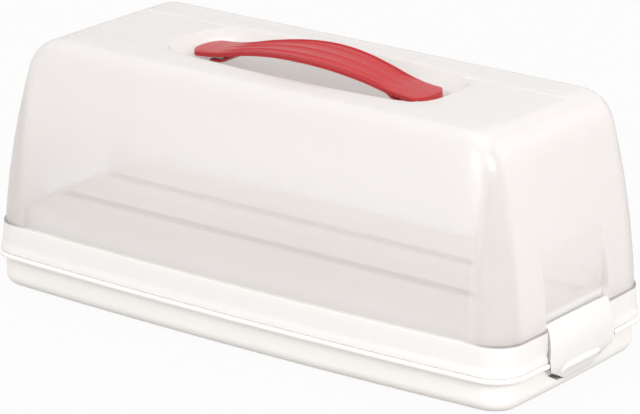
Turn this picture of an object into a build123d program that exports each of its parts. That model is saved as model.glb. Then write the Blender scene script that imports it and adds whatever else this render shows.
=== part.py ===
from build123d import *

import os

# Loaf-cake carrier: a translucent hood stands on a white tray and is held by two end clips.
# The origin is at the middle of the tray's underside. X runs along the carrier, Y across it
# and Z up. Every length is in millimetres and every angle in degrees.

# ---------------------------------------------------------------------------
# Outline shared by hood and tray, taken at the hood's shoulder
# ---------------------------------------------------------------------------
HALF_LENGTH = 182.0          # middle of the carrier to the middle of an end
HALF_WIDTH = 78.7            # middle of the carrier to the middle of a side
SIDE_BOW = 5.2               # how far the long sides swell outwards at mid-length
END_BOW = 1.4                # the same for the short ends
CORNER_RADIUS = 18.0         # vertical corners at the shoulder
SHOULDER_Z = 40.0            # height of the shoulder above the table
HOOD_TOP_Z = 152.6           # flat crown of the hood
HOOD_WALL = 2.2
TRAY_WALL = 2.4

# ---------------------------------------------------------------------------
# Hood
# ---------------------------------------------------------------------------
SHOULDER_STEP = 0.8          # ledge between the skirt and the foot of the wall
END_LEAN = 8.0               # an end wall leans in by this much, plus the extra below near its top
END_LEAN_EXTRA = 7.4
SIDE_LEAN = 4.2              # the same two amounts for a side wall
SIDE_LEAN_EXTRA = 5.2
WALL_SECTIONS = 4
UPPER_CORNER_RADIUS = 15.8   # vertical corners where the crown's rounding starts
CROWN_ROUND_Z = 20.6         # height of the rounding between walls and crown
CROWN_ROUND_END = 23.5       # its reach along X
CROWN_ROUND_SIDE = 15.5      # its reach along Y
CROWN_ROUND_SECTIONS = 4
CROWN_CORNER_RADIUS = 5.0
CROWN_BOW = 0.3              # the sides are all but straight from the rounding upwards
CHANNEL_HALF_WIDTH = 31.0    # sunk strip along the crown
CHANNEL_DEPTH = 0.8
SKIRT_DRAFT = 1.15           # the skirt widens by this much down to its foot
SKIRT_BEAD = 0.8             # bead around the skirt's foot
SKIRT_BEAD_HEIGHT = 3.4

# Dish under the handle, as a bowed rounded rectangle that narrows downwards
DISH_HALF_LENGTH = 95.7
DISH_HALF_WIDTH = 38.0
DISH_BOW = 6.0
DISH_CORNER_RADIUS = 23.0
DISH_MOUTH_FLARE = 1.6       # the mouth is wider than the rim by this much
DISH_RIM_DEPTH = 2.8         # rim below the crown
DISH_DEPTH = 11.0            # floor below the crown
DISH_FLOOR_INSET = 20.0      # floor outline inside the rim's
DISH_SHOULDER_INSET = 5.0    # outline half-way down the dish's wall
DISH_SHOULDER_DEPTH = 6.6

# ---------------------------------------------------------------------------
# Tray
# ---------------------------------------------------------------------------
TRAY_INSET = 1.2             # lower wall inside the shared outline
TRAY_BOTTOM_ROUND = 6.8      # rounding of the bottom edge
FLANGE_Z = 19.0              # underside of the flange that the hood stands on
FLANGE_THICKNESS = 2.6
FLANGE_REACH = 3.4           # flange beyond the shared outline
FLANGE_ROUND = 0.9
SEAT_GAP = 0.3               # flange to the hood's foot
COLLAR_GAP = 0.5             # collar to the inside of the skirt
COLLAR_TOP_GAP = 0.4         # collar to the underside of the shoulder
GUTTER_Z = 26.0              # floor of the gutter round the platform
PLATFORM_Z = 46.0            # raised platform for the cake
PLATFORM_END_INSET = 10.0    # platform inside the shared outline, at the ends
PLATFORM_SIDE_INSET = 17.7   # and at the sides
PLATFORM_CORNER_RADIUS = 12.0
PLATFORM_BOW = 1.0
PLATFORM_ROUND = 3.0
GROOVE_OFFSET = 22.4         # middle of each of the platform's two grooves, along Y
GROOVE_WIDTH = 10.0
GROOVE_DEPTH = 3.0
GROOVE_END_MARGIN = 6.0      # groove's end to the platform's end

# ---------------------------------------------------------------------------
# End clips and their seats
# ---------------------------------------------------------------------------
CLIP_WIDTH = 63.4
CLIP_THICKNESS = 2.0
CLIP_SIDE_GAP = 0.5          # clip to the side walls of its recess
HINGE_INSET = 3.3            # hinge axis inside the shared outline
HINGE_RISE = 1.0             # hinge axis above the shoulder
BARREL_RADIUS = 1.8
PIN_RADIUS = 1.2
PIN_LENGTH = 2.6
PIN_CLEARANCE = 0.06         # radial, pin to bore
BORE_END_GAP = 0.5
HINGE_BOSS_RADIUS = 3.1
HINGE_BOSS_DEPTH = 4.2
RECESS_DEPTH = 6.2           # flat back of the recess inside the shared outline
RECESS_FLOOR_DROP = 8.0      # lowest edge of the recess's sloping floor, below its highest
CLIP_SEAT_REACH = 0.6        # skirt and flange are trimmed to this reach behind a clip
CLIP_SEAT_GAP = 0.4          # clip to the trimmed skirt and flange
CLIP_SLANT_Z = 31.0          # the plate is upright below this height
CLIP_KNEE_Z = 17.0           # and turns under below this one
CLIP_FOOT_INSET = 1.6        # how far the plate's foot turns in
HOOK_THICKNESS = 2.4
HOOK_REACH = 2.8             # hook past the inside of the tray's wall
HOOK_PLAY = 0.6              # hook to the slot's upper edge
HOOK_SIDE_GAP = 6.0          # hook to the slot's ends
SLOT_HALF_WIDTH = 28.5
SLOT_LOW_Z = 7.0
SLOT_HIGH_Z = 12.6
GRIP_TOP_Z = 20.6
GRIP_REACH = 3.0             # finger grip beyond the plate
GRIP_HALF_WIDTH_TOP = 15.0
GRIP_HALF_WIDTH_LOW = 20.0

# ---------------------------------------------------------------------------
# Handle and its lugs
# ---------------------------------------------------------------------------
STRAP_RISE = 8.0             # crown of the arch above the hood's crown
STRAP_SHOULDER_X = 41.6      # a point on the arch's flank
STRAP_SHOULDER_DROP = 4.7
STRAP_WAIST_X = 67.0         # narrowest place, where the arch runs out into the flat end
STRAP_WAIST_DROP = 10.7
STRAP_TIP_X = 78.0           # where the rounded tip starts
STRAP_TIP_DROP = 11.6
STRAP_HALF_LENGTH = 86.0
STRAP_END_DROP = 12.6
STRAP_HALF_WIDTH = 19.2
STRAP_WAIST_HALF_WIDTH = 15.4
STRAP_TIP_HALF_WIDTH = 16.4
STRAP_THICKNESS = 3.2
STRAP_END_THICKNESS = 2.0
STRAP_SKIRT_DEPTH = 6.6      # lower edge of the hollow ends below the hood's crown
STRAP_SKIRT_X = 73.0         # the skirt runs round the tip from here
STRAP_SKIRT_WALL = 2.0
RIDGE_COUNT = 4              # grooves along the strap
RIDGE_PITCH = 7.0
RIDGE_WIDTH = 3.6
RIDGE_DEPTH = 0.6
RIDGE_HALF_LENGTH = 60.0
BLADE_ROOT_X = 45.0          # spring blade under each end: root, knee and tip
BLADE_KNEE_X = 56.0
BLADE_TIP_X = 65.0
BLADE_THICKNESS = 1.4
BLADE_HALF_WIDTH = 12.0
LUG_HALF_WIDTH = 9.0
LUG_GAP = 0.35               # lug to blade and lug to strap
LUG_POST_LENGTH = 4.0
LUG_HEAD_LENGTH = 6.0
LUG_HEAD_THICKNESS = 1.4
LUG_TOP_DEPTH = 5.6          # lug's top below the hood's crown

# ---------------------------------------------------------------------------
# Worked-out places
# ---------------------------------------------------------------------------
WALL_TOP_Z = HOOD_TOP_Z - CROWN_ROUND_Z
WALL_HEIGHT = WALL_TOP_Z - SHOULDER_Z
FLANGE_TOP_Z = FLANGE_Z + FLANGE_THICKNESS
SKIRT_FOOT_Z = FLANGE_TOP_Z + SEAT_GAP
COLLAR_TOP_Z = SHOULDER_Z - HOOD_WALL - COLLAR_TOP_GAP
PLATFORM_HALF_LENGTH = HALF_LENGTH - PLATFORM_END_INSET
PLATFORM_HALF_WIDTH = HALF_WIDTH - PLATFORM_SIDE_INSET
STRAP_TOP_Z = HOOD_TOP_Z + STRAP_RISE
STRAP_SKIRT_Z = HOOD_TOP_Z - STRAP_SKIRT_DEPTH
LUG_TOP_Z = HOOD_TOP_Z - LUG_TOP_DEPTH
HINGE_X = HALF_LENGTH - HINGE_INSET
HINGE_Z = SHOULDER_Z + HINGE_RISE
RECESS_HALF_WIDTH = CLIP_WIDTH / 2 + CLIP_SIDE_GAP
RECESS_BACK_X = HALF_LENGTH - RECESS_DEPTH
RECESS_FLOOR_Z = HINGE_Z - BARREL_RADIUS - CLIP_SIDE_GAP
TRAY_FACE_X = HALF_LENGTH - TRAY_INSET
CLIP_SEAT_X = HALF_LENGTH + CLIP_SEAT_REACH
PLATE_INNER_X = CLIP_SEAT_X + CLIP_SEAT_GAP
FAR = 2 * HALF_LENGTH        # longer than anything that a cutting block has to pass


def outline(z, half_length, half_width, side_bow, end_bow, corner_radius):
    """A rounded rectangle with swelling sides, as a face at height z."""
    x = half_length - end_bow
    y = half_width - side_bow
    sides = [
        ThreePointArc((-x, -y), (0, -half_width), (x, -y)),
        ThreePointArc((x, -y), (half_length, 0), (x, y)),
        ThreePointArc((x, y), (0, half_width), (-x, y)),
        ThreePointArc((-x, y), (-half_length, 0), (-x, -y)),
    ]
    face = make_face(sides)
    return Pos(0, 0, z) * fillet(face.vertices(), corner_radius)


def shared_outline(z, inset):
    """The outline shared by hood and tray, moved inwards by inset."""
    return outline(
        z, HALF_LENGTH - inset, HALF_WIDTH - inset, SIDE_BOW, END_BOW, CORNER_RADIUS - inset
    )


def prism_xz(points, half_width):
    """A prism across the carrier from a closed outline of (x, z) points."""
    face = Plane.XZ * make_face(Polyline(*points, close=True))
    return extrude(face, half_width, both=True)


def block(x_range, y_range, z_range):
    """A box between two x, two y and two z values."""
    size = [high - low for low, high in (x_range, y_range, z_range)]
    middle = [(high + low) / 2 for low, high in (x_range, y_range, z_range)]
    return Pos(*middle) * Box(*size)


def cylinder_y(x, z, radius, y_range):
    """A cylinder along Y between two y values."""
    start, end = y_range
    return Pos(x, start, z) * (Rot(-90, 0, 0) * extrude(Circle(radius), end - start))


def both_ends(shape):
    """A shape at the +X end together with its copy, turned half round, at the -X end."""
    return [shape, Rot(0, 0, 180) * shape]


# ---------------------------------------------------------------------------
# Hood
# ---------------------------------------------------------------------------
def wall_section(share, inset):
    """Section of the hood's wall at a share of its height, 0 at the shoulder and 1 at the top."""
    end_inset = SHOULDER_STEP + END_LEAN * share + END_LEAN_EXTRA * share**2 + inset
    side_inset = SHOULDER_STEP + SIDE_LEAN * share + SIDE_LEAN_EXTRA * share**2 + inset
    return outline(
        SHOULDER_Z + WALL_HEIGHT * share,
        HALF_LENGTH - end_inset,
        HALF_WIDTH - side_inset,
        SIDE_BOW + (CROWN_BOW - SIDE_BOW) * share,
        END_BOW + (CROWN_BOW - END_BOW) * share,
        CORNER_RADIUS + (UPPER_CORNER_RADIUS - CORNER_RADIUS) * share - inset,
    )


def crown_section(turn, inset):
    """Section of the crown's rounding, turn 0 at the wall's top and 1 at the flat crown."""
    end_slope = (END_LEAN + 2 * END_LEAN_EXTRA) / WALL_HEIGHT
    side_slope = (SIDE_LEAN + 2 * SIDE_LEAN_EXTRA) / WALL_HEIGHT
    height = CROWN_ROUND_Z - inset
    lean = 2 * turn * (1 - turn) * height
    end_inset = lean * end_slope + turn**2 * (CROWN_ROUND_END - inset)
    side_inset = lean * side_slope + turn**2 * (CROWN_ROUND_SIDE - inset)
    corner = UPPER_CORNER_RADIUS + (CROWN_CORNER_RADIUS - UPPER_CORNER_RADIUS) * turn
    return outline(
        WALL_TOP_Z + height * (2 * turn - turn**2),
        HALF_LENGTH - SHOULDER_STEP - END_LEAN - END_LEAN_EXTRA - inset - end_inset,
        HALF_WIDTH - SHOULDER_STEP - SIDE_LEAN - SIDE_LEAN_EXTRA - inset - side_inset,
        CROWN_BOW,
        CROWN_BOW,
        corner - inset * (1 - turn),
    )


def skirt_inset(z):
    """Outer face of the plain skirt at height z, as an inset of the shared outline."""
    return -SKIRT_DRAFT * (SHOULDER_Z - z) / (SHOULDER_Z - SKIRT_FOOT_Z)


def hood_body(inset):
    """The hood's wall and crown as a solid block, moved inwards by inset."""
    walls = [wall_section(i / WALL_SECTIONS, inset) for i in range(WALL_SECTIONS + 1)]
    rounding = [
        crown_section(i / CROWN_ROUND_SECTIONS, inset) for i in range(1, CROWN_ROUND_SECTIONS + 1)
    ]
    return loft(walls) + loft([walls[-1]] + rounding)


def skirt_body(inset, foot_z, top_z):
    """The skirt as a solid block, moved inwards by inset."""
    foot = shared_outline(foot_z, skirt_inset(foot_z) + inset)
    top = shared_outline(top_z, skirt_inset(top_z) + inset)
    return loft([foot, top])


def skirt_bead():
    """Bead around the skirt's foot, tapering out upwards."""
    foot = shared_outline(SKIRT_FOOT_Z, skirt_inset(SKIRT_FOOT_Z) - SKIRT_BEAD)
    top_z = SKIRT_FOOT_Z + SKIRT_BEAD_HEIGHT
    top = shared_outline(top_z, skirt_inset(top_z))
    return loft([foot, top])


def dish_body(grow, overshoot):
    """The dish's inside, grown by the wall when the wall around it is wanted."""
    def section(inset, depth):
        return outline(
            HOOD_TOP_Z - depth,
            DISH_HALF_LENGTH - inset + grow,
            DISH_HALF_WIDTH - inset + grow,
            DISH_BOW,
            DISH_BOW,
            max(DISH_CORNER_RADIUS - inset, DISH_BOW) + grow,
        )

    mouth = section(-DISH_MOUTH_FLARE, -overshoot)
    rim = section(0, DISH_RIM_DEPTH + grow)
    shoulder = section(DISH_SHOULDER_INSET, DISH_SHOULDER_DEPTH + grow)
    floor = section(DISH_FLOOR_INSET, DISH_DEPTH + grow)
    return loft([mouth, rim, shoulder, floor], ruled=True)


def recess_body(grow):
    """The room for the +X clip and its hinge, grown by the wall when that is wanted."""
    back_x = RECESS_BACK_X - grow
    seat_x = CLIP_SEAT_X - grow
    floor_z = RECESS_FLOOR_Z - grow
    points = [
        (back_x, WALL_TOP_Z),
        (back_x, floor_z),
        (seat_x, floor_z - RECESS_FLOOR_DROP),
        (seat_x, 0),
        (FAR, 0),
        (FAR, WALL_TOP_Z),
    ]
    return prism_xz(points, RECESS_HALF_WIDTH + grow)


def hinge_bosses(hood_block):
    """Thick places beside the recess that hold the clip's pins, trimmed to the hood's outside."""
    bosses = []
    for side in (-1, 1):
        span = (side * RECESS_HALF_WIDTH, side * (RECESS_HALF_WIDTH + HINGE_BOSS_DEPTH))
        bosses.append(cylinder_y(HINGE_X, HINGE_Z, HINGE_BOSS_RADIUS, sorted(span)))
    return [boss & hood_block for boss in bosses]


def pin_bores():
    """Blind bores for the clip's pins."""
    reach = CLIP_WIDTH / 2 + PIN_LENGTH + BORE_END_GAP
    return cylinder_y(HINGE_X, HINGE_Z, PIN_RADIUS + PIN_CLEARANCE, (-reach, reach))


def lug():
    """Lug in the dish at the +X end: a post whose head reaches inwards over the handle's blade."""
    post_x = BLADE_TIP_X + LUG_GAP
    floor_z = HOOD_TOP_Z - DISH_DEPTH - HOOD_WALL / 2
    span = (-LUG_HALF_WIDTH, LUG_HALF_WIDTH)
    post = block((post_x, post_x + LUG_POST_LENGTH), span, (floor_z, LUG_TOP_Z))
    head = block((post_x - LUG_HEAD_LENGTH, post_x), span, (LUG_TOP_Z - LUG_HEAD_THICKNESS, LUG_TOP_Z))
    return post + head


def make_hood():
    """The whole hood as one moulding."""
    outside = skirt_body(0, SKIRT_FOOT_Z, SHOULDER_Z) + skirt_bead() + hood_body(0)
    shoulder_under_z = SHOULDER_Z - HOOD_WALL
    inside = skirt_body(HOOD_WALL, SKIRT_FOOT_Z, shoulder_under_z)
    inside += extrude(wall_section(0, HOOD_WALL), -HOOD_WALL)
    inside += hood_body(HOOD_WALL)

    channel = block(
        (-FAR, FAR),
        (-CHANNEL_HALF_WIDTH, CHANNEL_HALF_WIDTH),
        (HOOD_TOP_Z - CHANNEL_DEPTH, FAR),
    )
    outside -= channel
    outside -= dish_body(0, HOOD_WALL)
    inside -= dish_body(HOOD_WALL, 0)
    recess = recess_body(0)
    recess_wall = recess_body(HOOD_WALL)
    bosses = hinge_bosses(outside - recess)
    for turn in (0, 180):
        outside -= Rot(0, 0, turn) * recess
        inside -= Rot(0, 0, turn) * recess_wall
    hood = outside - inside
    for boss in bosses:
        for copy in both_ends(boss):
            hood += copy
    for copy in both_ends(pin_bores()):
        hood -= copy
    for copy in both_ends(lug()):
        hood += copy
    return hood


# ---------------------------------------------------------------------------
# Tray
# ---------------------------------------------------------------------------
def tray_shell(inset, foot_z, top_z, rounding):
    """The tray's lower wall as a solid block with a rounded bottom edge."""
    body = extrude(shared_outline(foot_z, TRAY_INSET + inset), top_z - foot_z)
    return fillet(body.edges().group_by(Axis.Z)[0], rounding)


def platform_body(inset, foot_z):
    """The raised platform as a solid block, moved inwards by inset."""
    half_length = PLATFORM_HALF_LENGTH - inset
    half_width = PLATFORM_HALF_WIDTH - inset
    corner = PLATFORM_CORNER_RADIUS - inset
    face = outline(foot_z, half_length, half_width, PLATFORM_BOW, PLATFORM_BOW, corner)
    body = extrude(face, PLATFORM_Z - inset - foot_z)
    return fillet(body.edges().group_by(Axis.Z)[-1], max(PLATFORM_ROUND - inset, TRAY_WALL / 4))


def platform_groove(side, grow):
    """One of the two grooves along the platform, grown by the wall when that is wanted."""
    half_length = PLATFORM_HALF_LENGTH - GROOVE_END_MARGIN + grow
    half_width = GROOVE_WIDTH / 2 + grow
    middle = side * GROOVE_OFFSET
    return block(
        (-half_length, half_length),
        (middle - half_width, middle + half_width),
        (PLATFORM_Z - GROOVE_DEPTH - grow, FAR),
    )


def make_tray():
    """The whole tray: a closed double-walled moulding."""
    body = tray_shell(0, 0, FLANGE_TOP_Z, TRAY_BOTTOM_ROUND)
    flange = extrude(shared_outline(FLANGE_Z, -FLANGE_REACH), FLANGE_THICKNESS)
    flange = fillet(flange.edges().group_by(Axis.Z)[0], FLANGE_ROUND)
    flange = fillet(flange.edges().group_by(Axis.Z)[-1], FLANGE_ROUND)
    trim = block(
        (CLIP_SEAT_X, FAR), (-RECESS_HALF_WIDTH, RECESS_HALF_WIDTH), (0, FLANGE_TOP_Z)
    )
    for copy in both_ends(trim):
        flange -= copy
    collar_inset = HOOD_WALL + COLLAR_GAP
    collar = skirt_body(collar_inset, FLANGE_TOP_Z, COLLAR_TOP_Z)
    body += flange + collar

    basin = extrude(
        shared_outline(GUTTER_Z, collar_inset + TRAY_WALL), COLLAR_TOP_Z - GUTTER_Z
    )
    body -= basin
    body += platform_body(0, GUTTER_Z - TRAY_WALL / 2)

    cavity = tray_shell(TRAY_WALL, TRAY_WALL, GUTTER_Z - TRAY_WALL, TRAY_BOTTOM_ROUND - TRAY_WALL)
    cavity += platform_body(TRAY_WALL, GUTTER_Z - 2 * TRAY_WALL)
    for side in (-1, 1):
        cavity -= platform_groove(side, TRAY_WALL)
        body -= platform_groove(side, 0)
    body -= cavity

    notch_half_width = RECESS_HALF_WIDTH + HINGE_BOSS_DEPTH + COLLAR_GAP
    notch_z = RECESS_FLOOR_Z - RECESS_FLOOR_DROP - HOOD_WALL - COLLAR_TOP_GAP
    notch = block(
        (PLATFORM_HALF_LENGTH + TRAY_WALL, FAR),
        (-notch_half_width, notch_half_width),
        (notch_z, FAR),
    )
    collar_trim = block(
        (CLIP_SEAT_X - HOOD_WALL - COLLAR_GAP, FAR),
        (-notch_half_width, notch_half_width),
        (FLANGE_TOP_Z, FAR),
    )
    slot = block(
        (TRAY_FACE_X - 2 * TRAY_WALL, FAR),
        (-SLOT_HALF_WIDTH, SLOT_HALF_WIDTH),
        (SLOT_LOW_Z, SLOT_HIGH_Z),
    )
    for copy in both_ends(notch) + both_ends(collar_trim) + both_ends(slot):
        body -= copy
    return body


# ---------------------------------------------------------------------------
# Clips
# ---------------------------------------------------------------------------
def clip_plate():
    """Plate, turned-in foot and hook of the +X clip, before its lower corners are cut."""
    outer_x = PLATE_INNER_X + CLIP_THICKNESS
    foot_x = outer_x - CLIP_FOOT_INSET
    hook_top_z = SLOT_HIGH_Z - HOOK_PLAY
    hook_low_z = hook_top_z - HOOK_THICKNESS
    hook_tip_x = TRAY_FACE_X - TRAY_WALL - HOOK_REACH
    points = [
        (HINGE_X, HINGE_Z + BARREL_RADIUS),
        (HINGE_X + BARREL_RADIUS, HINGE_Z),
        (outer_x, CLIP_SLANT_Z),
        (outer_x, CLIP_KNEE_Z),
        (foot_x, hook_low_z),
        (hook_tip_x, hook_low_z),
        (hook_tip_x, hook_top_z),
        (foot_x - CLIP_THICKNESS, hook_top_z),
        (PLATE_INNER_X, CLIP_KNEE_Z),
        (PLATE_INNER_X, CLIP_SLANT_Z),
        (HINGE_X, HINGE_Z - BARREL_RADIUS),
    ]
    return prism_xz(points, CLIP_WIDTH / 2)


def clip_front(x_low, x_high, top, low):
    """A trapezoid plate across the carrier; top and low are (half width, z) of its two edges."""
    points = [(-top[0], top[1]), (top[0], top[1]), (low[0], low[1]), (-low[0], low[1])]
    face = make_face(Polyline(*points, close=True))
    return Pos(x_low, 0, 0) * (Plane.YZ * extrude(face, x_high - x_low))


def make_clip():
    """The +X clip as one moulding with its two pins."""
    hook_low_z = SLOT_HIGH_Z - HOOK_PLAY - HOOK_THICKNESS
    hook_half_width = SLOT_HALF_WIDTH - HOOK_SIDE_GAP
    half_width = CLIP_WIDTH / 2
    upper = clip_front(0, FAR, (half_width, FAR), (half_width, CLIP_KNEE_Z))
    lower = clip_front(0, FAR, (half_width, CLIP_KNEE_Z), (hook_half_width, hook_low_z))
    clip = clip_plate() & (upper + lower)
    clip += cylinder_y(HINGE_X, HINGE_Z, BARREL_RADIUS, (-half_width, half_width))
    pin_reach = half_width + PIN_LENGTH
    clip += cylinder_y(HINGE_X, HINGE_Z, PIN_RADIUS, (-pin_reach, pin_reach))
    grip = clip_front(
        PLATE_INNER_X + CLIP_THICKNESS / 2,
        PLATE_INNER_X + CLIP_THICKNESS + GRIP_REACH,
        (GRIP_HALF_WIDTH_TOP, GRIP_TOP_Z),
        (GRIP_HALF_WIDTH_LOW, hook_low_z),
    )
    return clip + grip


# ---------------------------------------------------------------------------
# Handle
# ---------------------------------------------------------------------------
def strap_line(drop):
    """The line of the strap's top from end to end, lowered by drop, in the XZ plane."""
    half = [
        (STRAP_HALF_LENGTH, STRAP_END_DROP),
        (STRAP_TIP_X, STRAP_TIP_DROP),
        (STRAP_WAIST_X, STRAP_WAIST_DROP),
        (STRAP_SHOULDER_X, STRAP_SHOULDER_DROP),
    ]
    left = [(-x, STRAP_TOP_Z - fall - drop) for x, fall in half]
    right = [(x, STRAP_TOP_Z - fall - drop) for x, fall in reversed(half)]
    return Spline(*left, (0, STRAP_TOP_Z - drop), *right)


def strap_band(upper_drop, lower_drop, y_range):
    """A band of the strap between two depths below its top and between two y values."""
    upper = strap_line(upper_drop)
    lower = strap_line(lower_drop)
    sides = [Line(upper @ 0, lower @ 0), Line(upper @ 1, lower @ 1)]
    face = Plane.XZ * make_face([upper, lower] + sides)
    start, end = y_range
    return Pos(0, end, 0) * extrude(face, end - start)


def strap_plan(inset):
    """The strap seen from above, moved inwards by inset, as a face at height zero."""
    tip_y = STRAP_TIP_HALF_WIDTH - inset
    waist_y = STRAP_WAIST_HALF_WIDTH - inset
    middle_y = STRAP_HALF_WIDTH - inset
    end_x = STRAP_HALF_LENGTH - inset
    front = Spline(
        (-STRAP_TIP_X, -tip_y), (-STRAP_WAIST_X, -waist_y), (0, -middle_y),
        (STRAP_WAIST_X, -waist_y), (STRAP_TIP_X, -tip_y),
    )
    back = Spline(
        (STRAP_TIP_X, tip_y), (STRAP_WAIST_X, waist_y), (0, middle_y),
        (-STRAP_WAIST_X, waist_y), (-STRAP_TIP_X, tip_y),
    )
    right = ThreePointArc((STRAP_TIP_X, -tip_y), (end_x, 0), (STRAP_TIP_X, tip_y))
    left = ThreePointArc((-STRAP_TIP_X, tip_y), (-end_x, 0), (-STRAP_TIP_X, -tip_y))
    return make_face([front, right, back, left])


def strap_block(inset, foot_z, top_z):
    """The strap's plan raised between two heights, moved inwards by inset."""
    return Pos(0, 0, foot_z) * extrude(strap_plan(inset), top_z - foot_z)


def blade():
    """Spring blade under the +X end of the strap, pointing outwards under the lug's head."""
    top_z = LUG_TOP_Z - LUG_HEAD_THICKNESS - LUG_GAP
    low_z = top_z - BLADE_THICKNESS
    root_z = STRAP_TOP_Z - STRAP_SHOULDER_DROP - STRAP_THICKNESS
    points = [
        (BLADE_ROOT_X - BLADE_THICKNESS, root_z),
        (BLADE_KNEE_X - BLADE_THICKNESS, low_z),
        (BLADE_TIP_X, low_z),
        (BLADE_TIP_X, top_z),
        (BLADE_KNEE_X, top_z),
        (BLADE_ROOT_X + BLADE_THICKNESS, root_z),
    ]
    return prism_xz(points, BLADE_HALF_WIDTH)


def make_handle():
    """The whole handle as one moulding."""
    everything = (-STRAP_HALF_WIDTH, STRAP_HALF_WIDTH)
    plate = strap_band(0, STRAP_THICKNESS, everything)
    thinned = strap_band(STRAP_END_THICKNESS, 2 * STRAP_THICKNESS, everything)
    for copy in both_ends(block((BLADE_KNEE_X, FAR), everything, (0, FAR))):
        plate -= thinned & copy
    plate = plate & strap_block(0, 0, FAR)
    for index in range(RIDGE_COUNT):
        middle = (index - (RIDGE_COUNT - 1) / 2) * RIDGE_PITCH
        groove = strap_band(
            -RIDGE_DEPTH, RIDGE_DEPTH, (middle - RIDGE_WIDTH / 2, middle + RIDGE_WIDTH / 2)
        )
        reach = (-RIDGE_HALF_LENGTH, RIDGE_HALF_LENGTH)
        plate -= groove & block(reach, everything, (0, FAR))
    below = strap_band(STRAP_END_THICKNESS / 2, STRAP_TOP_Z - STRAP_SKIRT_Z, everything)
    ring = strap_block(0, STRAP_SKIRT_Z, STRAP_TOP_Z) - strap_block(STRAP_SKIRT_WALL, 0, FAR)
    ring = ring & below
    for copy in both_ends(block((STRAP_SKIRT_X, FAR), everything, (0, FAR))):
        plate += ring & copy
    for copy in both_ends(blade()):
        plate += copy
    return plate


# ---------------------------------------------------------------------------
# Files
# ---------------------------------------------------------------------------
clip_right = make_clip()
nodes = {
    "base_tray": make_tray(),
    "lid_shell": make_hood(),
    "handle": make_handle(),
    "clip_right": clip_right,
    "clip_left": Rot(0, 0, 180) * clip_right,
}
os.makedirs("parts", exist_ok=True)
for name, shape in nodes.items():
    export_step(shape, f"parts/{name}.step")
    print(name, round(shape.volume), "mm3")
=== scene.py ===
"""Dresses the loaf-cake carrier: milky hood, white tray, red strap handle and two end clips.

Every length is in metres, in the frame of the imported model: X runs along the carrier, Y across
it and Z up, with the origin at the middle of the tray's underside.
"""

from __future__ import annotations

import logging
import math
from collections.abc import Sequence
from dataclasses import dataclass, field
from enum import Enum

import bmesh
import bpy
from mathutils import Matrix, Vector

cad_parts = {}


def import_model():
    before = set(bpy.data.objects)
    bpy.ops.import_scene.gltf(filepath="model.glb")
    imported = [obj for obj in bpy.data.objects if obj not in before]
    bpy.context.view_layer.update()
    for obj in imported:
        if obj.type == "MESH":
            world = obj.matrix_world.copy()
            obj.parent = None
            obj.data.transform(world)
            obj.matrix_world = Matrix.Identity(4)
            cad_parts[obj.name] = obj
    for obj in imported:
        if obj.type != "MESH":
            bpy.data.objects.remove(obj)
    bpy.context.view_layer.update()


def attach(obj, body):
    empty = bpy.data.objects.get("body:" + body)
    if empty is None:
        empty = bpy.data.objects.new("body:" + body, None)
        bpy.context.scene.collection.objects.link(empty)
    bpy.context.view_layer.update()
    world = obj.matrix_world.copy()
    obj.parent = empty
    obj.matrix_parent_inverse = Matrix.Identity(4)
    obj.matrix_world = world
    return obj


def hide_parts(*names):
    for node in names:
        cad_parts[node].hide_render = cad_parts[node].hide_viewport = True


log = logging.getLogger("carrier")

MM = 0.001
RIM_BEVEL = 0.3

Point = tuple[float, float, float]
Pair = tuple[float, float]
Colour = tuple[float, float, float]
Socket = bpy.types.NodeSocket
Tree = bpy.types.NodeTree


# ---------------------------------------------------------------------------
# Small helpers around Blender's operators
# ---------------------------------------------------------------------------
def deselect_all() -> None:
    """Leave object mode's selection empty."""
    for item in bpy.context.selected_objects:
        item.select_set(False)


def activate(piece: bpy.types.Object) -> None:
    """Make a piece the only selected and the active object.

    Args:
        piece: the object.
    """
    deselect_all()
    piece.select_set(True)
    bpy.context.view_layer.objects.active = piece


def finish_mesh(
    piece: bpy.types.Object, name: str, smooth_degrees: float = 35.0
) -> bpy.types.Object:
    """Name a piece and shade it smooth, with crisp edges above an angle.

    Args:
        piece: the mesh object.
        name: name for the object and its mesh.
        smooth_degrees: edges sharper than this stay crisp.

    Returns:
        The same object.
    """
    piece.name = name
    piece.data.name = name
    activate(piece)
    bpy.ops.object.shade_smooth_by_angle(angle=math.radians(smooth_degrees))
    return piece


def apply_modifier(piece: bpy.types.Object, kind: str, **settings: object) -> None:
    """Add a modifier with the given settings and apply it at once.

    Args:
        piece: the mesh object.
        kind: the modifier's type, such as "SOLIDIFY".
        settings: its properties.
    """
    activate(piece)
    modifier = piece.modifiers.new(kind.title(), kind)
    for key, value in settings.items():
        setattr(modifier, key, value)
    bpy.ops.object.modifier_apply(modifier=modifier.name)


def join(pieces: Sequence[bpy.types.Object]) -> bpy.types.Object:
    """Join several mesh objects into the first one.

    Args:
        pieces: the objects, the first of which stays.

    Returns:
        The joined object.
    """
    deselect_all()
    for piece in pieces:
        piece.select_set(True)
    bpy.context.view_layer.objects.active = pieces[0]
    bpy.ops.object.join()
    return pieces[0]


def turned_copy(piece: bpy.types.Object, name: str) -> bpy.types.Object:
    """Copy a piece with its own mesh, turned half round about the Z axis.

    Args:
        piece: the object to copy.
        name: name for the copy.

    Returns:
        The copy.
    """
    copy = piece.copy()
    copy.data = piece.data.copy()
    copy.data.transform(Matrix.Rotation(math.pi, 4, "Z"))
    copy.name = name
    copy.data.name = name
    bpy.context.scene.collection.objects.link(copy)
    return copy


# ---------------------------------------------------------------------------
# Bowed rounded rectangles, as rings of points that a skin is drawn over
# ---------------------------------------------------------------------------
@dataclass(frozen=True)
class Layout:
    """Where a ring's points stand: at fixed y on the ends, then in even steps round to the side.

    On a ring too narrow for them, the fixed places draw in to the share "room" of its width.
    """

    fixed_y: tuple[float, ...]
    end_steps: int = 4
    corner_steps: int = 10
    side_steps: int = 20
    room: float = 0.97


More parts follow.
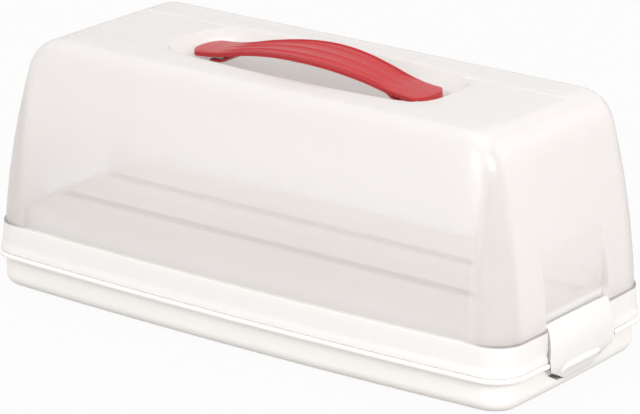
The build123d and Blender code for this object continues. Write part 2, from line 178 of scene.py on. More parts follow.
@dataclass(frozen=True)
class Section:
    """One level of a skin: a rounded rectangle with swelling sides, in millimetres."""

    z: float
    half_length: float
    half_width: float
    side_bow: float
    end_bow: float
    corner: float

    def end_x(self, y: float) -> float:
        """X of the end's bowed line at y."""
        return self.half_length - self.end_bow * (y / self.half_width) ** 2

    def side_y(self, x: float) -> float:
        """Y of the side's bowed line at x."""
        return self.half_width - self.side_bow * (x / self.half_length) ** 2

    def corner_arc(self) -> tuple[float, float, float, float]:
        """Find the arc that rounds the corner.

        Returns:
            Centre x, centre y, first angle and last angle, for the corner in +X, +Y.
        """
        cx = self.half_length - self.corner
        cy = self.half_width - self.corner
        first, last = 0.0, math.pi / 2
        for _ in range(4):
            first = math.atan(2 * self.end_bow * cy / self.half_width**2)
            last = math.pi / 2 - math.atan(2 * self.side_bow * cx / self.half_length**2)
            cx = self.end_x(cy + self.corner * math.sin(first)) - self.corner * math.cos(first)
            cy = self.side_y(cx + self.corner * math.cos(last)) - self.corner * math.sin(last)
        return cx, cy, first, last

    def quarter(self, layout: Layout) -> list[Pair]:
        """Points from the middle of the +X end to the middle of the +Y side.

        Args:
            layout: where the points stand.

        Returns:
            One (x, y) pair for each point.
        """
        cx, cy, first, last = self.corner_arc()
        arc_y = cy + self.corner * math.sin(first)
        arc_x = cx + self.corner * math.cos(last)
        room = layout.room * (cy + self.corner * math.sin(last))
        fixed = [y * min(1.0, room / layout.fixed_y[-1]) for y in layout.fixed_y]
        points = []
        for y in fixed:
            if y <= arc_y:
                points.append((self.end_x(y), y))
            else:
                points.append((cx + math.sqrt(max(self.corner**2 - (y - cy) ** 2, 0.0)), y))
        corner_steps = layout.corner_steps
        if fixed[-1] < arc_y:
            for step in range(1, layout.end_steps + 1):
                y = fixed[-1] + (arc_y - fixed[-1]) * step / layout.end_steps
                points.append((self.end_x(y), y))
        else:
            corner_steps += layout.end_steps
            first = math.asin((fixed[-1] - cy) / self.corner)
        for step in range(1, corner_steps + 1):
            angle = first + (last - first) * step / corner_steps
            points.append((cx + self.corner * math.cos(angle), cy + self.corner * math.sin(angle)))
        for step in range(1, layout.side_steps + 1):
            x = arc_x * (1 - step / layout.side_steps)
            points.append((x, self.side_y(x)))
        return points

    def ring(self, layout: Layout) -> list[Point]:
        """All points of the section, counter-clockwise seen from above.

        Args:
            layout: where the points stand.

        Returns:
            The points in millimetres, starting at the middle of the +X end.
        """
        quarter = self.quarter(layout)
        half = quarter + [(-x, y) for x, y in reversed(quarter[:-1])]
        full = half + [(x, -y) for x, y in reversed(half[1:-1])]
        return [(x, y, self.z) for x, y in full]


def between(first: Sequence[Point], last: Sequence[Point], share: float) -> list[Point]:
    """A ring between two rings, at a share of the way.

    Args:
        first: the ring at share 0.
        last: the ring at share 1, with as many points.
        share: the share of the way.

    Returns:
        The ring's points.
    """
    return [
        tuple(a + (b - a) * share for a, b in zip(start, end)) for start, end in zip(first, last)
    ]


def place_last(piece: bpy.types.Object, places: Sequence[Point]) -> None:
    """Set the newest points of a mesh in edit mode on given places.

    Args:
        piece: the mesh object in edit mode.
        places: where the points go, in millimetres.
    """
    mesh = bmesh.from_edit_mesh(piece.data)
    mesh.verts.ensure_lookup_table()
    for vert, place in zip(mesh.verts[-len(places):], places):
        vert.co = Vector(place) * MM
    bmesh.update_edit_mesh(piece.data)


def select_first(piece: bpy.types.Object, count: int) -> None:
    """Select only the first points of a mesh in edit mode.

    Args:
        piece: the mesh object in edit mode.
        count: how many points.
    """
    bpy.ops.mesh.select_all(action="DESELECT")
    mesh = bmesh.from_edit_mesh(piece.data)
    mesh.verts.ensure_lookup_table()
    for vert in mesh.verts[:count]:
        vert.select = True
    mesh.select_flush(True)


def skin(rings: Sequence[Sequence[Point]]) -> bpy.types.Object:
    """Draw a closed skin over rings of points: a circle is extruded and set on each of them.

    Args:
        rings: the rings, each with the same number of points; the first and last are filled.

    Returns:
        The mesh object, in object mode.
    """
    count = len(rings[0])
    deselect_all()
    bpy.ops.mesh.primitive_circle_add(vertices=count, radius=1.0, fill_type="NOTHING")
    piece = bpy.context.active_object
    bpy.ops.object.mode_set(mode="EDIT")
    bpy.ops.mesh.select_mode(type="VERT")
    bpy.ops.mesh.select_all(action="SELECT")
    place_last(piece, rings[0])
    for ring in rings[1:]:
        bpy.ops.mesh.extrude_region_move()
        place_last(piece, ring)
    bpy.ops.mesh.edge_face_add()
    select_first(piece, count)
    bpy.ops.mesh.edge_face_add()
    bpy.ops.mesh.select_all(action="SELECT")
    bpy.ops.mesh.normals_make_consistent(inside=False)
    bpy.ops.object.mode_set(mode="OBJECT")
    return piece


def prism(profile: Sequence[Pair], y_low: float, y_high: float) -> bpy.types.Object:
    """A solid across the carrier: a filled circle set on an (x, z) profile and extruded along Y.

    Args:
        profile: the outline in millimetres.
        y_low: where it starts.
        y_high: where it ends.

    Returns:
        The mesh object, in object mode.
    """
    low = [(x, y_low, z) for x, z in profile]
    high = [(x, y_high, z) for x, z in profile]
    return skin([low, high])


def soften(piece: bpy.types.Object) -> None:
    """Round a piece's sharp edges a little."""
    apply_modifier(piece, "BEVEL", width=RIM_BEVEL * MM, segments=2, limit_method="ANGLE")


def slab(low: Point, high: Point, bevel: float) -> bpy.types.Object:
    """A box between two corners, with rounded edges.

    Args:
        low: the lowest corner in millimetres.
        high: the highest corner.
        bevel: the rounding's width.

    Returns:
        The mesh object, in object mode.
    """
    deselect_all()
    middle = (Vector(low) + Vector(high)) * MM / 2
    bpy.ops.mesh.primitive_cube_add(size=1.0, location=middle)
    piece = bpy.context.active_object
    piece.scale = (Vector(high) - Vector(low)) * MM
    bpy.ops.object.transform_apply(location=True, rotation=False, scale=True)
    apply_modifier(piece, "BEVEL", width=bevel * MM, segments=3, limit_method="NONE")
    return piece


def rod(x: float, z: float, radius: float, y_reach: Pair, vertices: int) -> bpy.types.Object:
    """A round rod across the carrier, with softened rims.

    Args:
        x: its axis along X, in millimetres.
        z: its axis above the table.
        radius: its radius.
        y_reach: where it starts and ends.
        vertices: points around it.

    Returns:
        The mesh object, in object mode.
    """
    deselect_all()
    y_low, y_high = y_reach
    bpy.ops.mesh.primitive_cylinder_add(
        vertices=vertices, radius=radius * MM, depth=(y_high - y_low) * MM,
        location=(x * MM, (y_low + y_high) / 2 * MM, z * MM), rotation=(math.pi / 2, 0.0, 0.0),
    )
    piece = bpy.context.active_object
    bpy.ops.object.transform_apply(location=True, rotation=True, scale=True)
    soften(piece)
    return piece


# ---------------------------------------------------------------------------
# Small node helpers
# ---------------------------------------------------------------------------
def ramp(tree: Tree, value: Socket, start: float, end: float) -> Socket:
    """A soft step.

    Args:
        tree: the material's nodes.
        value: what is measured.
        start: the value up to which the step is 0.
        end: the value from which it is 1.

    Returns:
        The step's socket.
    """
    node = tree.nodes.new("ShaderNodeMapRange")
    node.interpolation_type = "SMOOTHSTEP"
    node.inputs["From Min"].default_value = start
    node.inputs["From Max"].default_value = end
    tree.links.new(value, node.inputs["Value"])
    return node.outputs["Result"]


def surface_place(tree: Tree) -> tuple[Socket, Socket, Socket]:
    """Where a point of the surface lies in the carrier's frame.

    Args:
        tree: the material's nodes.

    Returns:
        Its distance from the middle along X, the one along Y, and its height.
    """
    place = tree.nodes.new("ShaderNodeTexCoord")
    split = tree.nodes.new("ShaderNodeSeparateXYZ")
    tree.links.new(place.outputs["Object"], split.inputs["Vector"])
    distances = []
    for axis in ("X", "Y"):
        node = tree.nodes.new("ShaderNodeMath")
        node.operation = "ABSOLUTE"
        tree.links.new(split.outputs[axis], node.inputs[0])
        distances.append(node.outputs[0])
    return distances[0], distances[1], split.outputs["Z"]


def pick(tree: Tree, factor: Socket, low: float | Socket, high: float | Socket) -> Socket:
    """A value that is low where the factor is 0 and high where it is 1.

    Args:
        tree: the material's nodes.
        factor: the socket that chooses.
        low: the value or socket for 0.
        high: the value or socket for 1.

    Returns:
        The chosen value's socket.
    """
    value = tree.nodes.new("ShaderNodeMapRange")
    tree.links.new(factor, value.inputs["Value"])
    for name, end in (("To Min", low), ("To Max", high)):
        if isinstance(end, Socket):
            tree.links.new(end, value.inputs[name])
        else:
            value.inputs[name].default_value = end
    return value.outputs["Result"]


def combine(tree: Tree, operation: str, *values: Socket) -> Socket:
    """Bring several values together with one operation of the math node.

    Args:
        tree: the nodes.
        operation: "MAXIMUM" for the largest, "MULTIPLY" for the product.
        values: the sockets.

    Returns:
        The socket of the whole.
    """
    whole = values[0]
    for value in values[1:]:
        node = tree.nodes.new("ShaderNodeMath")
        node.operation = operation
        tree.links.new(whole, node.inputs[0])
        tree.links.new(value, node.inputs[1])
        whole = node.outputs[0]
    return whole


def mix_colours(
    tree: Tree, factor: Socket, first: Colour | Socket, second: Colour | Socket, kind: str = "MIX"
) -> Socket:
    """Mix two colours.

    Args:
        tree: the material's nodes.
        factor: the second colour's share.
        first: a colour or its socket.
        second: the other one.
        kind: how they mix.

    Returns:
        The mixed colour's socket.
    """
    mix = tree.nodes.new("ShaderNodeMix")
    mix.data_type = "RGBA"
    mix.blend_type = kind
    tree.links.new(factor, mix.inputs["Factor"])
    for name, colour in (("A", first), ("B", second)):
        if isinstance(colour, Socket):
            tree.links.new(colour, mix.inputs[name])
        else:
            mix.inputs[name].default_value = (*colour, 1.0)
    return mix.outputs["Result"]


def mix_shaders(tree: Tree, factor: Socket, first: Socket, second: Socket) -> Socket:
    """Mix two shaders.

    Args:
        tree: the nodes.
        factor: the second shader's share.
        first: the shader for 0.
        second: the shader for 1.

    Returns:
        The mixed shader's socket.
    """
    mix = tree.nodes.new("ShaderNodeMixShader")
    tree.links.new(factor, mix.inputs["Fac"])
    tree.links.new(first, mix.inputs[1])
    tree.links.new(second, mix.inputs[2])
    return mix.outputs["Shader"]


# ---------------------------------------------------------------------------
# Finishes
# ---------------------------------------------------------------------------
@dataclass(frozen=True)
class Zones:
    """Where a finish changes: the two places that each soft step runs between, in metres."""

    skirt: Pair = (0.0388, 0.0401)
    # the shoulder steps mark the band of painted shade under the hood's shoulder
    shoulder_band: tuple[Pair, Pair] = ((0.0387, 0.0391), (0.0402, 0.0399))
    shoulder_ends: Pair = (0.150, 0.176)
    shoulder_clip: Pair = (0.0323, 0.0330)
    foot: Pair = (0.0440, 0.0485)
    wall: Pair = (0.055, 0.125)
    crown: Pair = (0.128, 0.150)
    end: Pair = (0.155, 0.161)
    corner: tuple[Pair, Pair] = ((0.162, 0.155), (0.062, 0.052))
    window: tuple[Pair, Pair, Pair] = ((0.1725, 0.1715), (0.0316, 0.0330), (0.035, 0.082))
    dish: tuple[Pair, Pair, Pair] = ((0.074, 0.086), (0.022, 0.030), (0.1436, 0.1450))
    # platform and groove mark where the tray's painted shade lies
    platform: Pair = (0.0425, 0.0440)
    groove: tuple[Pair, Pair, Pair] = ((0.1690, 0.1695), (0.0276, 0.0280), (0.0453, 0.0458))


ZONES = Zones()


@dataclass(frozen=True)
class Plastic:
    """A moulded plastic: slow colour drift, fine grain in the gloss and a slight ripple."""

    name: str
    colour: Colour
    drift: Colour
    roughness: float = 0.35
    roughness_spread: float = 0.06
    drift_scale: float = 14.0
    drift_detail: float = 2.0
    ripple_scale: float = 900.0
    ripple_detail: float = 3.0
    ripple: float = 0.04
    ripple_height: float = 0.0002
    shine: float = 0.5

    def build(self) -> bpy.types.Material:
        """Make the node material.

        Returns:
            The material.
        """
        material = bpy.data.materials.new(self.name)
        material.use_nodes = True
        tree = material.node_tree
        shader = tree.nodes["Principled BSDF"]
        shader.inputs["Specular IOR Level"].default_value = self.shine

        slow = self.noise(tree, self.drift_scale, self.drift_detail)
        colour = mix_colours(tree, slow, self.colour, self.drift)
        tree.links.new(colour, shader.inputs["Base Color"])

        fine = self.noise(tree, self.ripple_scale, self.ripple_detail)
        gloss = tree.nodes.new("ShaderNodeMapRange")
        gloss.inputs["To Min"].default_value = self.roughness - self.roughness_spread
        gloss.inputs["To Max"].default_value = self.roughness + self.roughness_spread
        tree.links.new(fine, gloss.inputs["Value"])
        tree.links.new(gloss.outputs["Result"], shader.inputs["Roughness"])
        bump = tree.nodes.new("ShaderNodeBump")
        bump.inputs["Strength"].default_value = self.ripple
        bump.inputs["Distance"].default_value = self.ripple_height
        tree.links.new(fine, bump.inputs["Height"])
        tree.links.new(bump.outputs["Normal"], shader.inputs["Normal"])
        self.vary(tree, shader, colour)
        return material

    def noise(self, tree: Tree, scale: float, detail: float) -> Socket:
        """A noise over the surface.

        Args:
            tree: the material's nodes.
            scale: how fine it is.
            detail: how many finer layers it has.

        Returns:
            The noise's socket.
        """
        place = tree.nodes.new("ShaderNodeTexCoord")
        node = tree.nodes.new("ShaderNodeTexNoise")
        node.inputs["Scale"].default_value = scale
        node.inputs["Detail"].default_value = detail
        tree.links.new(place.outputs["Object"], node.inputs["Vector"])
        return node.outputs["Fac"]

    def vary(self, tree: Tree, shader: bpy.types.ShaderNode, colour: Socket) -> None:
        """Leave the plastic the same all over."""


@dataclass(frozen=True)
class TrayPlastic(Plastic):
    """The tray's plastic, with painted shade on the platform and darker painted shade on the strips
    in its grooves.
    """

    # painted shade colours: darker strips in the grooves, a greyer platform
    groove_painted_shade: Colour = (0.54, 0.505, 0.495)
    platform_painted_shade: Colour = (0.84, 0.80, 0.785)

    def vary(self, tree: Tree, shader: bpy.types.ShaderNode, colour: Socket) -> None:
        """Paint shade on the platform so that it is greyer than the walls, and darker painted shade
        on the strips in its grooves.

        Args:
            tree: the material's nodes.
            shader: the plastic's own shader.
            colour: the plastic's colour.
        """
        # painted shade: the platform multiplied towards grey, and the groove strips more so
        place = surface_place(tree)
        steps = (ramp(tree, value, *pair) for value, pair in zip(place, ZONES.groove))
        beside = combine(tree, "MAXIMUM", *steps)
        painted_shade = mix_colours(tree, beside, self.groove_painted_shade, self.platform_painted_shade)
        factor = ramp(tree, place[2], *ZONES.platform)
        shaded = mix_colours(tree, factor, colour, painted_shade, "MULTIPLY")
        tree.links.new(shaded, shader.inputs["Base Color"])


@dataclass(frozen=True)
class MilkyPlastic(Plastic):
    """The hood's plastic, which light soaks through and which shows what is behind it.

    Each veil is how milky a zone is, for a face seen straight on and for one at a slant. Each
    soak is the share of the milky body's light that comes through it.
    """

    low_veil: Pair = (0.30, 0.75)
    high_veil: Pair = (0.5, 0.85)
    end_veil: Pair = (0.8, 0.93)
    skirt_veil: Pair = (0.75, 0.9)
    recess_veil: Pair = (0.22, 0.42)
    foot_veil: Pair = (0.85, 0.9)
    dish_veil: Pair = (0.12, 0.25)
    wall_soak: float = 0.25
    skirt_soak: float = 0.06
    crown_soak: float = 0.4
    dish_soak: float = 0.6
    end_soak: float = 0.45
    window_soak: float = 0.15
    corner_soak: float = 0.7
    veil_blend: float = 0.3
    sheen_blend: float = 0.5
    sheen_facing: float = 0.04
    sheen_slant: float = 0.6
    sheen_dish: float = 0.1
    sheen_power: float = 5.0
    # colour of the painted shade under the shoulder's edge
    shoulder_painted_shade: Colour = (0.50, 0.45, 0.46)

    def vary(self, tree: Tree, shader: bpy.types.ShaderNode, colour: Socket) -> None:
        """Let light soak through the plastic and show what is behind it, less so at a slant.

        Args:
            tree: the material's nodes.
            shader: the plastic's own shader.
            colour: the plastic's colour.
        """
        # paints shade onto the band under the shoulder's edge
        colour = self.paint_shoulder_shade(tree, colour)
        tree.links.new(colour, shader.inputs["Base Color"])
        soak = tree.nodes.new("ShaderNodeBsdfTranslucent")
        tree.links.new(colour, soak.inputs["Color"])
        share = self.soak_by_zone(tree)
        body = mix_shaders(tree, share, shader.outputs["BSDF"], soak.outputs["BSDF"])
        facing = tree.nodes.new("ShaderNodeLayerWeight")
        facing.inputs["Blend"].default_value = self.veil_blend
        veils = (self.veil_by_zone(tree, 0), self.veil_by_zone(tree, 1))
        veil = pick(tree, facing.outputs["Facing"], *veils)
        clear = tree.nodes.new("ShaderNodeBsdfTransparent")
        seen = mix_shaders(tree, veil, clear.outputs["BSDF"], body)
        mirror = tree.nodes.new("ShaderNodeBsdfGlossy")
        mirror.inputs["Roughness"].default_value = self.roughness
        coated = mix_shaders(tree, self.sheen(tree), seen, mirror.outputs["BSDF"])
        tree.links.new(coated, tree.nodes["Material Output"].inputs["Surface"])

    def sheen(self, tree: Tree) -> Socket:
        """The gloss's share, which grows steeply at a slant and less so on the dish's floor.

        Args:
            tree: the material's nodes.

        Returns:
            The socket that gives it.
        """
        slant = tree.nodes.new("ShaderNodeLayerWeight")
        slant.inputs["Blend"].default_value = self.sheen_blend
        rise = tree.nodes.new("ShaderNodeMath")
        rise.operation = "POWER"
        rise.inputs[1].default_value = self.sheen_power
        tree.links.new(slant.outputs["Facing"], rise.inputs[0])
        off_dish = self.off_zone(tree, surface_place(tree), ZONES.dish)
        top = pick(tree, off_dish, self.sheen_dish, self.sheen_slant)
        return pick(tree, rise.outputs[0], self.sheen_facing, top)

    def paint_shoulder_shade(self, tree: Tree, colour: Socket) -> Socket:
        """Paint shade on the thin band under the shoulder's edge, where the wall turns into the
        skirt.

        Args:
            tree: the material's nodes.
            colour: the plastic's colour.

        Returns:
            The colour with the band of painted shade.
        """
        along, across, z = surface_place(tree)
        steps = [ramp(tree, along, *ZONES.shoulder_ends)]
        steps += [ramp(tree, z, *pair) for pair in ZONES.shoulder_band]
        steps.append(ramp(tree, across, *ZONES.shoulder_clip))
        factor = combine(tree, "MULTIPLY", *steps)
        return mix_colours(tree, factor, colour, self.shoulder_painted_shade)

    def off_zone(self, tree: Tree, place: Sequence[Socket], zone: Sequence[Pair]) -> Socket:
        """A factor that is 0 inside a zone and rises to 1 around it.

        Args:
            tree: the material's nodes.
            place: the sockets that are measured.
            zone: for each of them, where its step starts and ends.

        Returns:
            The factor's socket.
        """
        steps = (ramp(tree, value, *pair) for value, pair in zip(place, zone))
        return combine(tree, "MAXIMUM", *steps)

    def soak_by_zone(self, tree: Tree) -> Socket:
        """How much light soaks through: walls, crown, ends, windows, corners, dish, skirt.

        Args:
            tree: the material's nodes.

        Returns:
            The socket that gives it.
        """
        place = surface_place(tree)
        along, _, z = place
        soak = pick(tree, ramp(tree, z, *ZONES.crown), self.wall_soak, self.crown_soak)
        soak = pick(tree, ramp(tree, along, *ZONES.end), soak, self.end_soak)
        soak = pick(tree, self.off_zone(tree, place, ZONES.window), self.window_soak, soak)
        soak = pick(tree, self.off_zone(tree, place, ZONES.corner), self.corner_soak, soak)
        soak = pick(tree, self.off_zone(tree, place, ZONES.dish), self.dish_soak, soak)
        return pick(tree, ramp(tree, z, *ZONES.skirt), self.skirt_soak, soak)

    def veil_by_zone(self, tree: Tree, index: int) -> Socket:
        """How milky the plastic is: walls, ends, dish, clear windows in the recesses, skirt.

        Args:
            tree: the material's nodes.
            index: 0 for a face seen straight on, 1 for one seen at a slant.

        Returns:
            The socket that gives it.
        """
        place = surface_place(tree)
        along, _, z = place
        veil = pick(tree, ramp(tree, z, *ZONES.wall), self.low_veil[index], self.high_veil[index])
        veil = pick(tree, ramp(tree, along, *ZONES.end), veil, self.end_veil[index])
        veil = pick(tree, self.off_zone(tree, place, ZONES.dish), self.dish_veil[index], veil)
        foot = ramp(tree, z, *ZONES.foot)
        window = pick(tree, foot, self.foot_veil[index], self.recess_veil[index])
        veil = pick(tree, self.off_zone(tree, place, ZONES.window), window, veil)
        return pick(tree, ramp(tree, z, *ZONES.skirt), self.skirt_veil[index], veil)


class Finish(Enum):
    """The finishes of the carrier's pieces."""

    MILKY = MilkyPlastic(
        "milky_plastic", (0.98, 0.96, 0.95), (0.965, 0.945, 0.935), roughness=0.2, ripple=0.02
    )
    WHITE = TrayPlastic(
        "white_plastic", (0.885, 0.870, 0.854), (0.855, 0.838, 0.82), roughness=0.38
    )
    CLIP = Plastic("clip_plastic", (0.80, 0.793, 0.782), (0.775, 0.768, 0.757), roughness=0.34)
    RED = Plastic(
        "red_plastic", (0.46, 0.038, 0.041), (0.40, 0.030, 0.034),
        roughness=0.3, roughness_spread=0.04, ripple_scale=1400.0, ripple=0.012, shine=0.2,
    )


class FinishShelf:
    """Makes each finish once and hands it out."""

    def __init__(self) -> None:
        """Start with nothing made."""
        self._made: dict[Finish, bpy.types.Material] = {}

    def dress(self, piece: bpy.types.Object, finish: Finish) -> None:
        """Give a piece one finish all over.

        Args:
            piece: the mesh object.
            finish: which finish.
        """
        if finish not in self._made:
            self._made[finish] = finish.value.build()
        piece.data.materials.clear()
        piece.data.materials.append(self._made[finish])


# ---------------------------------------------------------------------------
# Sizes that hood and tray share, in millimetres
# ---------------------------------------------------------------------------
@dataclass(frozen=True)
class SharedOutline:
    """The outline at the hood's shoulder, from which both mouldings are measured."""

    half_length: float = 182.0
    half_width: float = 78.7
    side_bow: float = 5.2
    end_bow: float = 1.4
    corner: float = 18.0
    least_corner: float = 2.0
    shoulder_z: float = 40.0

    def section(self, z: float, inset: float) -> Section:
        """The shared outline at height z, moved inwards.

        Args:
            z: the height in millimetres.
            inset: how far inwards.

        Returns:
            The section.
        """
        return Section(
            z, self.half_length - inset, self.half_width - inset,
            self.side_bow, self.end_bow, max(self.corner - inset, self.least_corner),
        )


SHARED = SharedOutline()
RECESS_HALF_WIDTH = 32.2
CURVED_DEGREES = 32.0
CLIP_GAP_HALF_WIDTH = 34.0
CLIP_SEAT_X = 182.6


# ---------------------------------------------------------------------------
# Hood
# ---------------------------------------------------------------------------
@dataclass
class Hood:
    """The milky hood: skirt, shoulder, walls, crown with its sunk strip and the handle's dish.

    The skirt's levels pair a height with a swell, the shoulder's a height with an inset, and the
    dish's rim a depth under the crown with an inset.
    """

    wall: float = 2.2
    foot_z: float = 21.9
    top_z: float = 152.6
    wall_top_z: float = 132.0
    shoulder_step: float = 0.8
    end_lean: Pair = (8.0, 7.4)
    side_lean: Pair = (4.2, 5.2)
    upper_corner: float = 15.8
    crown_corner: float = 5.0
    crown_bow: float = 0.3
    crown_reach_end: float = 23.5
    crown_reach_side: float = 15.5
    crown_turns: int = 14
    skirt_draft: float = 1.15
    channel_half_width: float = 31.0
    channel_z: float = 151.8
    recess_back_x: float = 175.8
    recess_floor_z: float = 38.7
    recess_elbow_z: float = 30.7
    recess_ease: float = 0.36
    recess_rise: float = 0.5
    dish_half_length: float = 95.7
    dish_half_width: float = 38.0
    dish_bow: float = 6.0
    dish_corner: float = 23.0
    dish_least_corner: float = 6.0
    lug_post: tuple[Point, Point] = ((69.8, -9.0, 140.6), (73.4, 9.0, 147.0))
    lug_head: tuple[Point, Point] = ((60.5, -9.0, 145.3), (71.0, 9.0, 147.0))
    lug_round: float = 0.35
    boss_x: float = 178.7
    boss_z: float = 40.8
    boss_radius: float = 2.4
    boss_depth: float = 4.2
    boss_gap: float = 0.1
    boss_sides: int = 40
    even_columns: tuple[float, ...] = (0.0, 5.0, 10.0, 15.0, 20.0, 25.0)
    outer_skirt: tuple[Pair, ...] = (
        (21.9, 0.45), (22.3, 0.8), (24.3, 0.8), (25.2, 0.5), (26.2, 0.0), (28.5, 0.0),
        (30.7, 0.0), (34.7, 0.0), (38.7, 0.0),
    )
    outer_shoulder: tuple[Pair, ...] = ((39.5, 0.0), (39.85, 0.12), (40.0, 0.45))
    inner_skirt: tuple[Pair, ...] = (
        (21.9, 0.3), (22.3, 0.0), (24.3, 0.0), (25.2, 0.0), (26.2, 0.0), (27.5, 0.0),
        (28.5, 0.0), (32.5, 0.0), (36.5, 0.0), (37.2, 0.1),
    )
    inner_shoulder: tuple[Pair, ...] = ((37.6, 0.3), (37.8, 0.8))
    wall_shares: tuple[float, ...] = (
        0.0, 0.012, 0.03, 0.06, 0.1, 0.16, 0.23, 0.3, 0.37, 0.43, 0.47, 0.52, 0.6, 0.7, 0.8, 0.91,
    )
    crown_shares: tuple[float, ...] = (0.25, 0.5, 0.75)
    dish_rim: tuple[Pair, ...] = (
        (0.0, 0.4), (0.1, 1.0), (0.5, 1.6), (1.3, 2.1), (2.4, 2.7), (3.6, 3.5), (4.8, 4.5),
        (5.9, 5.8), (6.8, 7.3), (7.6, 9.4), (8.4, 12.2), (9.4, 15.4), (10.3, 18.0),
        (10.8, 19.6), (11.0, 21.0),
    )
    pieces: list[bpy.types.Object] = field(default_factory=list)

    def skirt_inset(self, z: float) -> float:
        """Outer face of the plain skirt at height z, as an inset of the shared outline."""
        return -self.skirt_draft * (SHARED.shoulder_z - z) / (SHARED.shoulder_z - self.foot_z)

    def skirt_levels(self, grow: float) -> list[Pair]:
        """Levels of one face of the skirt and of the shoulder over it.

        Args:
            grow: the wall's thickness for the inner face, 0 for the outer.

        Returns:
            A height and an inset of the shared outline for each level.
        """
        skirt = self.inner_skirt if grow else self.outer_skirt
        shoulder = self.inner_shoulder if grow else self.outer_shoulder
        levels = [(z, self.skirt_inset(z) + grow - swell) for z, swell in skirt]
        return levels + [(z, grow + inset) for z, inset in shoulder]

    def layout(self, grow: float) -> Layout:
        """Where the points of a ring stand, with columns at the recess and at the crown's strip.

        Args:
            grow: the wall's thickness for the inner face, 0 for the outer.

        Returns:
            The layout.
        """
        strip = self.channel_half_width
        edge = RECESS_HALF_WIDTH + grow
        gap = CLIP_GAP_HALF_WIDTH + grow
        return Layout((
            *self.even_columns, strip - 1.2, strip - 0.3, strip + 0.3,
            edge - 0.35, edge - 0.1, edge + 0.1, gap - 0.1, gap + 0.1, gap + 1.5,
        ))

    def wall_section(self, share: float, inset: float) -> Section:
        """Section of the wall.

        Args:
            share: the share of its height, 0 at the shoulder and 1 at the top.
            inset: how far inside the outer face.

        Returns:
            The section.
        """
        end_inset = self.shoulder_step + self.end_lean[0] * share + self.end_lean[1] * share**2
        side_inset = self.shoulder_step + self.side_lean[0] * share + self.side_lean[1] * share**2
        return Section(
            SHARED.shoulder_z + (self.wall_top_z - SHARED.shoulder_z) * share,
            SHARED.half_length - end_inset - inset,
            SHARED.half_width - side_inset - inset,
            SHARED.side_bow + (self.crown_bow - SHARED.side_bow) * share,
            SHARED.end_bow + (self.crown_bow - SHARED.end_bow) * share,
            SHARED.corner + (self.upper_corner - SHARED.corner) * share - inset,
        )

    def crown_section(self, turn: float, inset: float) -> Section:
        """Section of the crown's rounding.

        Args:
            turn: the share of the rounding, 0 at the wall's top and 1 at the flat crown.
            inset: how far inside the outer face.

        Returns:
            The section.
        """
        wall_height = self.wall_top_z - SHARED.shoulder_z
        height = self.top_z - self.wall_top_z - inset
        lean = 2 * turn * (1 - turn) * height
        end_slope = (self.end_lean[0] + 2 * self.end_lean[1]) / wall_height
        side_slope = (self.side_lean[0] + 2 * self.side_lean[1]) / wall_height
        top = self.wall_section(1.0, inset)
        return Section(
            self.wall_top_z + height * (2 * turn - turn**2),
            top.half_length - lean * end_slope - turn**2 * (self.crown_reach_end - inset),
            top.half_width - lean * side_slope - turn**2 * (self.crown_reach_side - inset),
            self.crown_bow,
            self.crown_bow,
            self.upper_corner + (self.crown_corner - self.upper_corner) * turn - inset * (1 - turn),
        )

    def dish_section(self, z: float, inset: float) -> Section:
        """Section of the dish.

        Args:
            z: its height.
            inset: how far inside the rim.

        Returns:
            The section.
        """
        return Section(
            z, self.dish_half_length - inset, self.dish_half_width - inset,
            self.dish_bow, self.dish_bow, max(self.dish_corner - inset, self.dish_least_corner),
        )

    def carve(self, place: Point, grow: float) -> Point:
        """Press a point back into a clip's recess, or down into the strip along the crown.

        Args:
            place: the point in millimetres.
            grow: the wall's thickness for a point of the inner face, 0 for the outer.

        Returns:
            The pressed point.
        """
        x, y, z = place
        edge = RECESS_HALF_WIDTH + grow
        if abs(y) < edge and z < self.wall_top_z:
            height = self.recess_floor_z - self.recess_elbow_z
            slope = (CLIP_SEAT_X - self.recess_back_x) / height
            drop = min(max(self.recess_floor_z - grow - z, 0.0), height)
            limit = self.recess_back_x - grow + drop * slope
            beside = max(abs(y) - edge + self.recess_ease, 0.0)
            limit += self.recess_rise * beside / self.recess_ease
            x = math.copysign(min(abs(x), limit), x)
        if abs(y) < CLIP_GAP_HALF_WIDTH + grow and z < self.recess_elbow_z:
            x = math.copysign(min(abs(x), CLIP_SEAT_X - grow), x)
        if not grow and abs(y) < self.channel_half_width:
            z = min(z, self.channel_z)
        return x, y, z

    def face_rings(self, grow: float) -> list[list[Point]]:
        """All rings of one face of the hood, from the skirt's foot to the dish's floor.

        Args:
            grow: the wall's thickness for the inner face, 0 for the outer.

        Returns:
            The rings, carved.
        """
        turns = self.crown_turns
        sections = [SHARED.section(z, inset) for z, inset in self.skirt_levels(grow)]
        sections += [self.wall_section(share, grow) for share in self.wall_shares]
        sections += [self.crown_section(i / turns, grow) for i in range(turns + 1)]
        layout = self.layout(grow)
        rings = [section.ring(layout) for section in sections]
        dish = [
            self.dish_section(self.top_z - grow - depth, inset - grow).ring(layout)
            for depth, inset in self.dish_rim
        ]
        crown = rings[-1]
        rings += [between(crown, dish[0], share) for share in self.crown_shares]
        rings += dish
        return [[self.carve(place, grow) for place in ring] for ring in rings]

    def lug(self) -> bpy.types.Object:
        """Lug in the dish at the +X end, whose head reaches inwards over the handle's blade."""
        return join([slab(*self.lug_post, self.lug_round), slab(*self.lug_head, self.lug_round)])

    def bosses(self) -> bpy.types.Object:
        """Round bosses beside the +X recess that hold the ends of a clip's hinge.

        Returns:
            Both bosses as one object.
        """
        near = RECESS_HALF_WIDTH + self.wall + self.boss_gap
        far = RECESS_HALF_WIDTH + self.boss_depth
        reaches = ((near, far), (-far, -near))
        axis = (self.boss_x, self.boss_z)
        return join([rod(*axis, self.boss_radius, reach, self.boss_sides) for reach in reaches])

